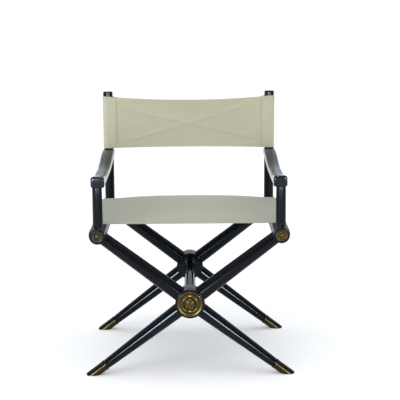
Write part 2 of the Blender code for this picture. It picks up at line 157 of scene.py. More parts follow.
def lacquer(name, along, shine=0.17):
    """Glossy black lacquer over ebonised wood; along is the grain's scale on X, Y and Z, small along it."""
    made, tree, shader = node_tree(name)
    place = add(tree, "ShaderNodeTexCoord").outputs["Object"]
    grain = noise(tree, stretched(tree, place, along), 1.0, 6.0, 0.6)
    cloud = noise(tree, place, 9.0, 3.0)
    rubs = noise(tree, stretched(tree, place, tuple(3 * a for a in along)), 1.0, 2.0, 0.7)
    peel = noise(tree, place, 420.0, 2.0)
    wear = add(tree, "ShaderNodeNewGeometry").outputs["Pointiness"]
    edge = ramp(tree, wear, (0.54, 0.0), (0.62, 1.0))
    patches = ramp(tree, noise(tree, place, 60.0, 4.0, 0.7), (0.5, 0.0), (0.7, 0.6))
    worn = maths(tree, "MULTIPLY", edge, patches)
    body = mix(tree, grain, (0.0035, 0.0036, 0.0052), (0.0080, 0.0076, 0.0095))
    put(tree, shader, "Base Color", mix(tree, worn, body, (0.055, 0.032, 0.020)))
    dull = maths(tree, "MULTIPLY_ADD", cloud, 0.07, 0.055)
    dull = maths(tree, "MULTIPLY_ADD", rubs, 0.06, dull)
    put(tree, shader, "Roughness", maths(tree, "MULTIPLY_ADD", worn, 0.3, dull))
    shader.inputs["IOR"].default_value = 1.45
    shader.inputs["Specular IOR Level"].default_value = shine
    shader.inputs["Specular Tint"].default_value = (0.72, 0.86, 1.0, 1)
    height = maths(tree, "MULTIPLY_ADD", peel, 0.25, grain)
    bump = add(tree, "ShaderNodeBump", Strength=0.10, Distance=0.0004, Height=height)
    put(tree, shader, "Normal", bump.outputs[0])
    return made


def antique_brass(name, light, dark):
    """Aged brass: bright where it is rubbed, brown patina and painted shade in the grooves and hollows, with a
    soft uneven sheen.
    """
    made, tree, shader = node_tree(name)
    place = add(tree, "ShaderNodeTexCoord").outputs["Object"]
    point = add(tree, "ShaderNodeNewGeometry").outputs["Pointiness"]
    hollow = add(tree, "ShaderNodeAttribute", {"attribute_name": "hollow"}).outputs["Fac"]
    # Grooves: concave places and the mesh's hollows, where brown patina and painted shade darken the brass.
    groove_patina_and_shade = maths(tree, "MAXIMUM", ramp(tree, point, (0.44, 1.0), (0.51, 0.0)), hollow)
    rubbed = ramp(tree, point, (0.51, 0.0), (0.58, 1.0))
    blotch = ramp(tree, noise(tree, place, 70.0, 5.0, 0.65), (0.36, 0.0), (0.68, 1.0))
    speck = ramp(tree, noise(tree, place, 900.0, 2.0, 0.6), (0.62, 0.0), (0.74, 1.0))
    tone = mix(tree, blotch, light, tuple(0.45 * a + 0.55 * b for a, b in zip(light, dark)))
    tone = mix(tree, maths(tree, "MULTIPLY", rubbed, 0.7), tone, tuple(min(1.0, 1.45 * a) for a in light))
    # Painted shade with patina: the grooves are mixed towards the dark colour.
    tone = mix(tree, maths(tree, "MULTIPLY", groove_patina_and_shade, 0.85), tone, dark)
    grime = mix(tree, maths(tree, "MULTIPLY", speck, 0.6), tone, (0.05, 0.038, 0.022))
    put(tree, shader, "Base Color", grime)
    shader.inputs["Metallic"].default_value = 1.0
    rough = maths(tree, "MULTIPLY_ADD", blotch, 0.12, 0.15)
    put(tree, shader, "Roughness", maths(tree, "MULTIPLY_ADD", groove_patina_and_shade, 0.25, rough))
    lines = noise(tree, stretched(tree, place, (600.0, 60.0, 600.0)), 1.0, 2.0)
    height = maths(tree, "MULTIPLY_ADD", lines, 0.4, blotch)
    bump = add(tree, "ShaderNodeBump", Strength=0.12, Distance=0.0002, Height=height)
    put(tree, shader, "Normal", bump.outputs[0])
    return made


def plain_steel(name):
    made, tree, shader = node_tree(name)
    place = add(tree, "ShaderNodeTexCoord").outputs["Object"]
    spots = noise(tree, place, 300.0, 3.0)
    put(tree, shader, "Base Color", ramp(tree, spots, (0.3, (0.30, 0.30, 0.31)), (0.8, (0.48, 0.48, 0.49))))
    put(tree, shader, "Roughness", maths(tree, "MULTIPLY_ADD", spots, 0.2, 0.28))
    shader.inputs["Metallic"].default_value = 1.0
    return made


THREAD_PITCH = 0.00085  # between two threads of the canvas


def canvas_cloth(name, tone, shade):
    """Plain-woven cotton canvas: crossing threads with painted shade in the gaps between them, slubs, faint stains
    and a dry, slightly fuzzy surface.

    The mesh's "weave" attribute gives each point's place on the flat cloth, in metres.
    """
    made, tree, shader = node_tree(name)
    place = add(tree, "ShaderNodeAttribute", {"attribute_name": "weave"}).outputs["Vector"]
    wander = add(tree, "ShaderNodeTexNoise", Vector=place, Scale=55.0, Detail=3.0).outputs["Color"]
    centred = add(tree, "ShaderNodeVectorMath", {"operation": "SUBTRACT"}, s0=wander, s1=(0.5, 0.5, 0.5))
    moved = add(tree, "ShaderNodeVectorMath", {"operation": "SCALE"}, s0=centred.outputs[0], Scale=0.0011)
    moved = add(tree, "ShaderNodeVectorMath", {"operation": "ADD"}, s0=place, s1=moved.outputs[0])
    split = add(tree, "ShaderNodeSeparateXYZ", Vector=moved.outputs[0])
    thread = math.pi / THREAD_PITCH
    across = maths(tree, "SINE", maths(tree, "MULTIPLY", split.outputs[0], thread))
    down = maths(tree, "SINE", maths(tree, "MULTIPLY", split.outputs[1], thread))
    over = maths(tree, "GREATER_THAN", maths(tree, "MULTIPLY", across, down), 0.0)
    round_across = maths(tree, "ABSOLUTE", across)
    round_down = maths(tree, "ABSOLUTE", down)
    weave = add(tree, "ShaderNodeMix", s0=over, s2=round_across, s3=round_down).outputs[0]
    slub_a = noise(tree, stretched(tree, place, (900.0, 16.0, 1.0)), 1.0, 3.0, 0.6)
    slub_b = noise(tree, stretched(tree, place, (16.0, 900.0, 1.0)), 1.0, 3.0, 0.6)
    slubs = maths(tree, "ADD", slub_a, slub_b)
    cloud = noise(tree, place, 7.0, 4.0, 0.6)
    fleck = noise(tree, stretched(tree, place, (260.0, 700.0, 1.0)), 1.0, 2.0)
    fleck = ramp(tree, fleck, (0.70, 0.0), (0.76, 1.0))
    colour = mix(tree, ramp(tree, slubs, (0.80, 0.0), (1.0, 1.0)), shade, tone)
    colour = mix(tree, ramp(tree, cloud, (0.30, 0.30), (0.68, 0.0)), colour, tuple(0.90 * c for c in shade))
    # Painted shade: the low places between the threads are darker.
    weave_gap_shade = maths(tree, "MULTIPLY_ADD", weave, -0.30, 0.30)
    colour = mix(tree, weave_gap_shade, colour, tuple(0.55 * c for c in shade))
    colour = mix(tree, maths(tree, "MULTIPLY", fleck, 0.35), colour, (0.19, 0.16, 0.10))
    put(tree, shader, "Base Color", colour)
    put(tree, shader, "Roughness", maths(tree, "MULTIPLY_ADD", cloud, 0.12, 0.82))
    shader.inputs["Sheen Weight"].default_value = 0.12
    shader.inputs["Sheen Roughness"].default_value = 0.55
    shader.inputs["Specular IOR Level"].default_value = 0.18
    height = maths(tree, "MULTIPLY_ADD", slubs, 0.7, weave)
    bump = add(tree, "ShaderNodeBump", Strength=0.55, Distance=0.00022, Height=height)
    put(tree, shader, "Normal", bump.outputs[0])
    return made


def cotton_thread(name):
    made, tree, shader = node_tree(name)
    place = add(tree, "ShaderNodeTexCoord").outputs["Object"]
    twist = noise(tree, place, 1500.0, 2.0)
    put(tree, shader, "Base Color", ramp(tree, twist, (0.3, (0.40, 0.37, 0.27)), (0.7, (0.60, 0.57, 0.45))))
    shader.inputs["Roughness"].default_value = 0.85
    bump = add(tree, "ShaderNodeBump", Strength=0.4, Distance=0.0001, Height=twist)
    put(tree, shader, "Normal", bump.outputs[0])
    return made


def pale_floor(name):
    made, tree, shader = node_tree(name)
    place = add(tree, "ShaderNodeTexCoord").outputs["Object"]
    cloud = noise(tree, place, 1.5, 2.0)
    put(tree, shader, "Base Color", ramp(tree, cloud, (0.2, (0.85, 0.85, 0.855)), (0.8, (0.87, 0.87, 0.875))))
    shader.inputs["Roughness"].default_value = 0.9
    shader.inputs["Specular IOR Level"].default_value = 0.1
    shader.inputs["Emission Color"].default_value = (1, 1, 1, 1)
    shader.inputs["Emission Strength"].default_value = 0.12
    return made


GRAIN_X, GRAIN_Y, GRAIN_Z = (9.0, 160.0, 160.0), (160.0, 9.0, 160.0), (160.0, 160.0, 9.0)
BLACK_X = lacquer("black_lacquer_across", GRAIN_X)
BLACK_Y = lacquer("black_lacquer_along", GRAIN_Y)
BLACK_Z = lacquer("black_lacquer_upright", GRAIN_Z)
ARM_BLACK = lacquer("black_lacquer_arms", GRAIN_Y, 0.36)
BRASS = antique_brass("antique_brass", (0.092, 0.066, 0.023), (0.013, 0.009, 0.003))
# A dimmer, greyer copy of the brass for the left rail medallions: painted shade.
BRASS_SHADED_LEFT = antique_brass("antique_brass_shaded_left", (0.060, 0.050, 0.034), (0.016, 0.013, 0.009))
BRASS_FEET = antique_brass("antique_brass_feet", (0.046, 0.036, 0.020), (0.012, 0.009, 0.005))
STEEL = plain_steel("plain_steel")
BACK_CANVAS = canvas_cloth("canvas_back", (0.640, 0.618, 0.455), (0.570, 0.550, 0.395))
# The seat's canvas is a darker, cooler copy of the back's: partly its own ageing, partly painted shade.
SEAT_CANVAS_AGED_SHADED = canvas_cloth("canvas_seat_aged_shaded", (0.410, 0.422, 0.335), (0.355, 0.366, 0.286))
THREAD = cotton_thread("cotton_thread")


# ---------------------------------------------------------------- shapes


def new_piece(name, verts, faces, finish, sharp=40):
    """An object from vertices and faces, shaded smooth apart from edges sharper than sharp degrees."""
    mesh = bpy.data.meshes.new(name)
    mesh.from_pydata([tuple(v) for v in verts], [], faces)
    mesh.shade_smooth()
    mesh.set_sharp_from_angle(angle=math.radians(sharp))
    if finish is not None:
        mesh.materials.append(finish)
    made = bpy.data.objects.new(name, mesh)
    bpy.context.scene.collection.objects.link(made)
    return made


def settle(piece, body, slot, *nodes):
    """A finished piece rides on a body and stands for its CAD nodes, which it hides; slot is not used."""
    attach(piece, body)
    if nodes:
        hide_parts(*nodes)
    return piece


def rounded(points, steps=5):
    """A profile of (radius, height, fillet) points as (radius, height) points with each corner rounded."""
    out = []
    for n, (r, h, fillet) in enumerate(points):
        here = Vector((r, h))
        if fillet <= 0 or n in (0, len(points) - 1):
            out.append(here)
            continue
        back = Vector(points[n - 1][:2]) - here
        on = Vector(points[n + 1][:2]) - here
        half = back.angle(on) / 2
        reach = min(fillet / math.tan(half), 0.48 * back.length, 0.48 * on.length)
        radius = reach * math.tan(half)
        middle = here + (back.normalized() + on.normalized()).normalized() * (radius / math.sin(half))
        start, end = here + back.normalized() * reach, here + on.normalized() * reach
        for step in range(steps + 1):
            way = (start - middle).lerp(end - middle, step / steps)
            out.append(middle + way.normalized() * radius)
    return [tuple(p) for p in out]


def spun(outline, steps):
    """Vertices and faces of an outline of (radius, height) turned round Z, closed by poles or into a ring."""
    verts, rings = [], []
    for r, h in outline:
        if r < 1e-7:
            rings.append([len(verts)])
            verts.append((0.0, 0.0, h))
            continue
        rings.append(list(range(len(verts), len(verts) + steps)))
        for n in range(steps):
            turn = 2 * math.pi * n / steps
            verts.append((r * math.cos(turn), r * math.sin(turn), h))
    faces = []
    pairs = list(zip(rings, rings[1:]))
    if len(rings[0]) > 1:
        pairs.append((rings[-1], rings[0]))
    for low, high in pairs:
        for n in range(steps):
            m = (n + 1) % steps
            if len(low) == 1:
                faces.append((low[0], high[m], high[n]))
            elif len(high) == 1:
                faces.append((low[n], low[m], high[0]))
            else:
                faces.append((low[n], low[m], high[m], high[n]))
    return verts, faces


def turned(name, outline, finish, steps=96, place=None, sharp=40):
    """A turned piece; place is the matrix that carries its own Z axis to where it stands.

    The outline runs up the outside, from bottom to top, so that the faces point out.
    """
    verts, faces = spun(outline, steps)
    if place is not None:
        verts = [place @ Vector(v) for v in verts]
        if place.determinant() < 0:
            faces = [face[::-1] for face in faces]
    return new_piece(name, verts, faces, finish, sharp)


def upright(x, y):
    return Matrix.Translation((x, y, 0))


def outward(x, z, face):
    """Carries Z to +Y or -Y, so that heights count outwards from the middle plane."""
    return Matrix.Translation((x, 0, z)) @ Matrix.Rotation(math.radians(-90 * face), 4, "X")


def boolean(target, tool, operation):
    """Cuts or joins at once, and removes the tool."""
    step = target.modifiers.new("step", "BOOLEAN")
    step.operation = operation
    step.solver = "MANIFOLD"
    step.object = tool
    bpy.context.view_layer.update()
    evaluated = target.evaluated_get(bpy.context.evaluated_depsgraph_get())
    mesh = bpy.data.meshes.new_from_object(evaluated)
    target.modifiers.clear()
    old = target.data
    target.data = mesh
    mesh.name = target.name
    bpy.data.meshes.remove(old)
    bpy.data.objects.remove(tool)


def cylinder(radius, low, high, place, steps=128, edge=0.0):
    """A plain or edge-rounded cylinder between two heights on its axis, for joining or cutting."""
    outline = rounded([(0, low, 0), (radius, low, edge), (radius, high, edge), (0, high, 0)], 6)
    return turned("tool", outline, None, steps, place)


def leg_radius(height):
    """The leg's radius along its length, from its crossing point: a taper each way with a slight belly."""
    if height > 0:
        share = height / LEG_UP
        taper = LEG_R_HUB + (LEG_R_TOP - LEG_R_HUB) * share
    else:
        share = min(-height / (LEG_DOWN - FERRULE_LENGTH), 1)
        taper = LEG_R_HUB + (LEG_R_FOOT - LEG_R_HUB) * share
    return taper + 0.0004 * math.sin(math.pi * share)


def leg(face, lean, place_word, foot, body):
    """One turned leg with its half of the hub and its eye, cut from round solids like the real one."""
    name = f"leg_{place_word}_{foot}"
    outer = lean > 0
    shoulder = -(LEG_DOWN - FERRULE_LENGTH - SHOULDER_EASE)
    tenon = FERRULE_R - FERRULE_WALL - GAP
    low = -(LEG_DOWN - FERRULE_FLOOR - GAP)
    outline = [(0, low), (tenon, low), (tenon, shoulder - 0.0004)]
    outline += [(leg_radius(shoulder) - 0.0012, shoulder), (leg_radius(shoulder), shoulder + SHOULDER_EASE)]
    count = 56
    first, last = shoulder + 0.006, LEG_UP
    heights = [first + (last - first) * n / count for n in range(count + 1)]
    outline += [(leg_radius(h), h) for h in heights]
    outline += [(LEG_R_TOP - 0.002, LEG_UP + 0.008), (LEG_R_TOP - 0.006, LEG_UP + 0.010), (0, LEG_UP + 0.010)]
    stand = Matrix.Translation((0, face * LEG_PLANE, PIVOT.z)) @ Matrix.Rotation(lean * TILT, 4, "Y")
    made = turned(name, outline, BLACK_Z, 112, stand)
    middle = outward(0, PIVOT.z, face)
    top = outward(lean * RAIL.x, RAIL.z, face)
    inside, outside = LEG_PLANE - HUB_HALF, LEG_PLANE + HUB_HALF
    lap = LEG_PLANE + (GAP / 2 if outer else -GAP / 2)
    rail_face = outside - EYE_THICK
    bite, past, past_rail = 0.006, 0.002, 0.005  # discs reach into the leg, cuts reach beyond it
    hub_ease, eye_ease = 0.0022, 0.0026  # rounding of their rims
    disc_low, disc_high = (lap - bite, outside) if outer else (inside, lap + bite)
    cut_low, cut_high = (inside - past, lap) if outer else (lap, outside + past)
    boolean(made, cylinder(HUB_R, disc_low, disc_high, middle, 144, hub_ease), "UNION")
    boolean(made, cylinder(HUB_R + RUN, cut_low, cut_high, middle, 144), "DIFFERENCE")
    boolean(made, cylinder(EYE_R, rail_face - bite, outside, top, 112, eye_ease), "UNION")
    boolean(made, cylinder(RAIL_R + RUN, inside - past_rail, rail_face, top, 112), "DIFFERENCE")
    made.data.shade_smooth()
    made.data.set_sharp_from_angle(angle=LEG_SHARP)
    if not made.data.materials:
        made.data.materials.append(BLACK_Z)
    made.data.materials[0] = BLACK_X
    return settle(made, body, "black_lacquer", name)


def ferrule(face, lean, place_word, foot, body):
    """Brass cup with a bead and a fillet at its top, worn tip, cut flat on the floor."""
    name = f"ferrule_{place_word}_{foot}"
    top = -(LEG_DOWN - FERRULE_LENGTH)
    tip = -(LEG_DOWN + FERRULE_TIP)
    bore = FERRULE_R - FERRULE_WALL
    outline = rounded(
        [
            (0, tip, 0),
            (FERRULE_R * 0.985, tip, 0.0014),
            (FERRULE_R, tip + 0.010, 0.002),
            (FERRULE_R - 0.0002, top - 0.0085, 0.001),
            (FERRULE_R + 0.0004, top - 0.0080, 0.0003),
            (FERRULE_R + 0.0004, top - 0.0070, 0.0003),
            (FERRULE_R - 0.0002, top - 0.0064, 0.0003),
            (FERRULE_R - 0.0002, top - 0.0050, 0.0006),
            (COLLAR_R, top - 0.0044, 0.0012),
            (COLLAR_R, top - 0.0012, 0.0012),
            (FERRULE_R - 0.0002, top - 0.0006, 0.0003),
            (bore, top + 0.0005, 0.0003),
            (bore, -(LEG_DOWN - FERRULE_FLOOR), 0.0002),
            (0, -(LEG_DOWN - FERRULE_FLOOR), 0),
        ],
        5,
    )
    stand = Matrix.Translation((0, face * LEG_PLANE, PIVOT.z)) @ Matrix.Rotation(lean * TILT, 4, "Y")
    made = turned(name, outline, BRASS_FEET, 96, stand)
    reach, depth = 0.5, 0.2  # of the block below the floor that cuts the tip flat
    corners = [(x, y, z) for x in (-reach, reach) for y in (-reach, reach) for z in (-depth, 0)]
    faces = [(0, 1, 3, 2), (4, 6, 7, 5), (0, 4, 5, 1), (2, 3, 7, 6), (0, 2, 6, 4), (1, 5, 7, 3)]
    boolean(made, new_piece("tool", corners, faces, None), "DIFFERENCE")
    made.data.shade_smooth()
    made.data.set_sharp_from_angle(angle=LEG_SHARP)
    return settle(made, body, "brass", name)


def medallion(name, x, z, face, radius, body, waves, finish):
    """A turned brass rosette: waves are the crests and hollows of its face, from the rim to the middle."""
    seat = LEG_PLANE + HUB_HALF + GAP
    outline = [(0, seat), (radius, seat)]
    rim_r, rim_h = waves[0]
    lip = radius - rim_r
    for turn in np.radians(np.linspace(0, 90, 9)):
        low = seat + rim_h - lip
        outline.append((rim_r + lip * math.cos(turn), low + lip * math.sin(turn)))
    for (r1, h1), (r2, h2) in zip(waves, waves[1:]):
        for step in range(1, 11):
            share = step / 10
            ease = (1 - math.cos(math.pi * share)) / 2
            outline.append((r1 + (r2 - r1) * share, seat + h1 + (h2 - h1) * ease))
    made = turned(name, outline, finish, 144, outward(x, z, face), 60)
    low, high = min(h for _, h in waves), max(h for _, h in waves)
    # The hollow attribute: the deeper a point of the face lies, the more brown patina and painted shade the brass
    # gives it.
    depth = [(high + seat - abs(v.co.y)) / (high - low) for v in made.data.vertices]
    hollow = made.data.attributes.new("hollow", "FLOAT", "POINT")
    hollow.data.foreach_set("value", np.clip(depth, 0, 1) ** 1.5)
    return settle(made, body, "brass", name)


def post(name, x, y, low, high, radii, top_edge, body):
    """A round post, its foot eased where it stands on the rail."""
    bottom_r, top_r = radii
    outline = rounded([(0, low, 0), (bottom_r, low, 0.0008), (top_r, high, top_edge), (0, high, 0)], 8)
    made = turned(name, outline, BLACK_Z, 96, upright(x, y))
    return settle(made, body, "black_lacquer", name)


def side_rail(name, side, body):
    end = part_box(name)[1].y
    outline = rounded([(0, -end, 0), (RAIL_R, -end, 0.002), (RAIL_R, end, 0.002), (0, end, 0)], 6)
    place = Matrix.Translation((side * RAIL.x, 0, RAIL.z)) @ Matrix.Rotation(math.radians(-90), 4, "X")
    made = turned(name, outline, BLACK_Y, 112, place)
    return settle(made, body, "black_lacquer", name)


ARM_UNDER = 0.5706
ARM_MIDDLE = RAIL.x - 0.004
ARM_HALF = 0.020
ARM_THICK = 0.0215
ARM_BLOCK = 0.0105  # extra height of the block in front
ARM_RISE, ARM_UNDER_RISE = 0.0245, 0.0215  # how far the top and the underside rise towards the back
ARM_NOSE = 0.0052  # rounding of the front end


def arm_top(y, front):
    """Height of the arm's upper face at y."""
    block = math.exp(-(((y - front) / 0.055) ** 2))
    rise = (1 - math.cos(math.pi * min(max((y + 0.05) / 0.25, 0), 1))) / 2
    return ARM_UNDER + ARM_THICK + ARM_BLOCK * block + ARM_RISE * rise


def arm_under(y):
    """Height of the arm's lower face at y."""
    rise = (1 - math.cos(math.pi * min(max(y / 0.21, 0), 1))) / 2
    return ARM_UNDER + ARM_UNDER_RISE * rise


def arm(name, side, body):
    """A shaped arm: a rounded block in front, a waist, and a rise to the back post's round end."""
    low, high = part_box(name)
    front, back = low.y, high.y
    middle = side * ARM_MIDDLE
    stations = []
    nose = sorted(front + ARM_NOSE * (1 - math.sin(math.radians(90 * step / 8))) for step in range(9))
    for y in nose:
        turn = math.asin(1 - (y - front) / ARM_NOSE)
        stations.append((y, ARM_NOSE * (1 - math.cos(turn)), 1.0))
    count = 72
    start, end = front + ARM_NOSE, back - ARM_HALF
    for n in range(1, count + 1):
        stations.append((start + (end - start) * n / count, 0.0, 1.0))
    for turn in np.radians(np.linspace(8, 84, 14)):
        stations.append((end + ARM_HALF * math.sin(turn), 0.0, math.cos(turn)))
    verts, faces, rings = [], [], []
    around = 11  # points round each corner of a section
    for y, shrink, narrow in stations:
        waist = 0.0012 * math.exp(-((y / 0.13) ** 2))
        top, under = arm_top(y, front) - shrink, arm_under(y) + shrink * 0.8
        half = (ARM_HALF - waist) * narrow - shrink
        block = math.exp(-(((y - front) / 0.05) ** 2))
        corner = min(0.0092 - 0.0014 * block, 0.95 * half, 0.46 * (top - under))
        ring = []
        for right, up, begin in ((1, 1, 0), (-1, 1, 90), (-1, -1, 180), (1, -1, 270)):
            radius = corner if up > 0 else min(corner * 0.8, 0.95 * half)
            for step in range(around):
                turn = math.radians(begin + 90 * step / (around - 1))
                x = right * (half - radius) + radius * math.cos(turn)
                z = (top - radius if up > 0 else under + radius) + radius * math.sin(turn)
                crown = 0.0011 * (1 - (x / max(half, 1e-4)) ** 2) if z > (top + under) / 2 else 0
                ring.append(len(verts))
                verts.append((middle + x, y, z + crown))
        rings.append(ring)
    for first, second in zip(rings, rings[1:]):
        for n in range(len(first)):
            m = (n + 1) % len(first)
            faces.append((first[n], first[m], second[m], second[n]))
    faces.append(tuple(rings[0][::-1]))
    faces.append(tuple(rings[-1]))
    made = new_piece(name, verts, faces, ARM_BLACK, 50)
    return settle(made, body, "black_lacquer", name)


# ---------------------------------------------------------------- cloth


def cloth(name, points, flat, thickness, finish):
    """A closed sheet round a grid of points.

    points is (rows, columns, 3), flat is (rows, columns, 2), the place on the flat cloth in metres, and
    thickness is a number for each point.
    """
    rows, columns = points.shape[:2]
    down = np.gradient(points, axis=0)
    across = np.gradient(points, axis=1)
    normal = np.cross(across, down)
    normal /= np.maximum(np.linalg.norm(normal, axis=2, keepdims=True), 1e-12)
    half = (thickness / 2)[..., None]
    upper, lower = points + normal * half, points - normal * half
    verts = np.concatenate([upper.reshape(-1, 3), lower.reshape(-1, 3)])
    count = rows * columns
    faces = []
    for r in range(rows - 1):
        for c in range(columns - 1):
            a = r * columns + c
            b, d, e = a + 1, a + columns, a + columns + 1
            faces.append((a, d, e, b))
            faces.append((count + a, count + b, count + e, count + d))
    rim = [(0, c) for c in range(columns)] + [(r, columns - 1) for r in range(1, rows)]
    rim += [(rows - 1, c) for c in range(columns - 2, -1, -1)] + [(r, 0) for r in range(rows - 2, 0, -1)]
    for (r1, c1), (r2, c2) in zip(rim, rim[1:] + rim[:1]):
        a, b = r1 * columns + c1, r2 * columns + c2
        faces.append((a, b, count + b, count + a))
    made = new_piece(name, verts, faces, finish, 60)
    weave = made.data.attributes.new("weave", "FLOAT_VECTOR", "POINT")
    flat_points = np.zeros((2 * count, 3), np.float32)
    flat_points[:count, :2] = flat.reshape(-1, 2)
    flat_points[count:, :2] = flat.reshape(-1, 2)
    weave.data.foreach_set("vector", flat_points.ravel())
    return made


# Sections of one stitch: share of its length, thickness and lift off the cloth, in stitch radii
STITCH_SECTIONS = (
    (0.0, 0.35, -0.6),
    (0.18, 0.9, 0.25),
    (0.5, 1.0, 0.6),
    (0.82, 0.9, 0.25),
    (1.0, 0.35, -0.6),
)


def stitches(name, path, finish, pitch=0.0042, length=0.0030, radius=0.00038):
    """A row of short thread stitches along a path of (point, outward normal) pairs."""
    path = [(Vector(p), Vector(n).normalized()) for p, n in path]
    lengths = [0.0]
    for (p, _), (q, _) in zip(path, path[1:]):
        lengths.append(lengths[-1] + (q - p).length)
    verts, faces = [], []

    def at(distance):
        k = min(max(int(np.searchsorted(lengths, distance)) - 1, 0), len(path) - 2)
        share = (distance - lengths[k]) / max(lengths[k + 1] - lengths[k], 1e-9)
        return path[k][0].lerp(path[k + 1][0], share), path[k][1].lerp(path[k + 1][1], share).normalized()

    number = int(lengths[-1] / pitch)
    for n in range(number):
        middle = (n + 0.5) * lengths[-1] / number
        start, normal = at(middle - length / 2)
        end, _ = at(middle + length / 2)
        along = (end - start).normalized()
        side = along.cross(normal).normalized()
        first = len(verts)
        for share, thick, lift in STITCH_SECTIONS:
            centre = start.lerp(end, share) + normal * radius * lift
            for k in range(6):
                turn = math.pi * k / 3
                verts.append(centre + (side * math.cos(turn) + normal * math.sin(turn)) * radius * thick)
        for s in range(4):
            for k in range(6):
                m = (k + 1) % 6
                a, b = first + 6 * s + k, first + 6 * s + m
                faces.append((a, a + 6, b + 6, b))
        faces.append(tuple(range(first, first + 6)))
        faces.append(tuple(range(first + 29, first + 23, -1)))
    return new_piece(name, verts, faces, finish, 60)


SEAT_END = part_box("seat_sling")[1].y
SEAT_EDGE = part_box("back_post_left")[0].y - 0.003
SEAT_RADIUS = RAIL_R + GAP + CANVAS / 2
SEAT_WRAP = math.radians(70)
FLAP_TURN = math.asin((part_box("front_post_right")[1].x + 0.003 - RAIL.x) / SEAT_RADIUS)  # from the crown
FOLD = joints["fold"]["range_deg"][1]
KEEP = math.sin(TILT - math.radians(FOLD)) / math.sin(TILT)
POST_INSET = RAIL.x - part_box("back_post_right")[0].x
NOTCH_X = RAIL.x - POST_INSET / KEEP - 0.001  # clear of the post when the seat is drawn together
BACK_LOW, BACK_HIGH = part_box("back_sling")[0].z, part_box("back_sling")[1].z
BACK_POST = (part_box("back_post_left")[0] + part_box("back_post_left")[1]) / 2
BACK_POST_R = (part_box("back_post_left")[1].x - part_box("back_post_left")[0].x) / 2
SLEEVE_R = BACK_POST_R + GAP + CANVAS / 2
BACK_HEIGHT = BACK_HIGH - BACK_LOW
HEM = 0.016
HEM_STITCH = HEM - 0.0025  # edge to hem stitches
STITCH_LIFT = CANVAS * 0.62  # sheet's middle to a stitch lying on it
SEAT_SEED, BACK_SEED = 7, 11
SEAT_SAG, SEAT_DRAG = 0.0030, 0.0011  # depth of the sag and height of the drag lines
BACK_HOLLOW, BACK_CREASE, BACK_DRAG = 0.0035, 0.0022, 0.0009
SEAM_DIP, SEAM_WIDTH = 0.0010, 0.004  # the cloth is pulled in along the stitching beside the posts


def close_at_edges(outer, inner, fine, coarse):
    """Numbers from -1 to 1: fine of them beyond outer at each end, and coarse of them within inner."""
    ends = np.linspace(-1, -outer, fine), np.linspace(outer, 1, fine)
    return np.concatenate([ends[0], np.linspace(-inner, inner, coarse), ends[1]])


def hem_thickness(distance):
    """The cloth's thickness near an edge, doubled where its hem is folded under."""
    step = 1 / (1 + np.exp((distance - HEM) / 0.0006))
    return CANVAS * (0.8 + 0.6 * step)


def seat_height(x, y):
    """How far the seat's middle stands off a flat sheet: a slight sag and faint drag lines from the rails."""
    u, v = x / RAIL.x, y / SEAT_EDGE
    sag = -SEAT_SAG * (1 - u**2) * (1 - v**2)
    drag = np.zeros_like(x)
    rng = random.Random(SEAT_SEED)
    for side in (-1, 1):
        for n in range(7):
            at = rng.uniform(-0.95, 0.95)
            slope = rng.uniform(-0.35, 0.35)
            reach = rng.uniform(0.25, 0.6)
            width = rng.uniform(0.010, 0.022)
            line = y - SEAT_EDGE * (at + slope * (1 - side * u))
            fade = np.clip(1 - (1 - side * u) / reach, 0, 1) ** 1.5 * np.clip((1 - side * u) / 0.06, 0, 1)
            drag += rng.uniform(-1, 1) * SEAT_DRAG * np.exp(-((line / width) ** 2)) * fade
    return sag + drag


def seat_back_edge(x):
    """The seat's back edge: straight beside the posts, and a bowed tab between them."""
    tab = (SEAT_END + 0.004 - SEAT_EDGE) * (1 - np.abs(x / NOTCH_X) ** 3)
    inside = np.clip((NOTCH_X + 0.0004 - np.abs(x)) / 0.0008, 0, 1)
    return SEAT_EDGE + np.where(inside > 0, tab, 0) * inside


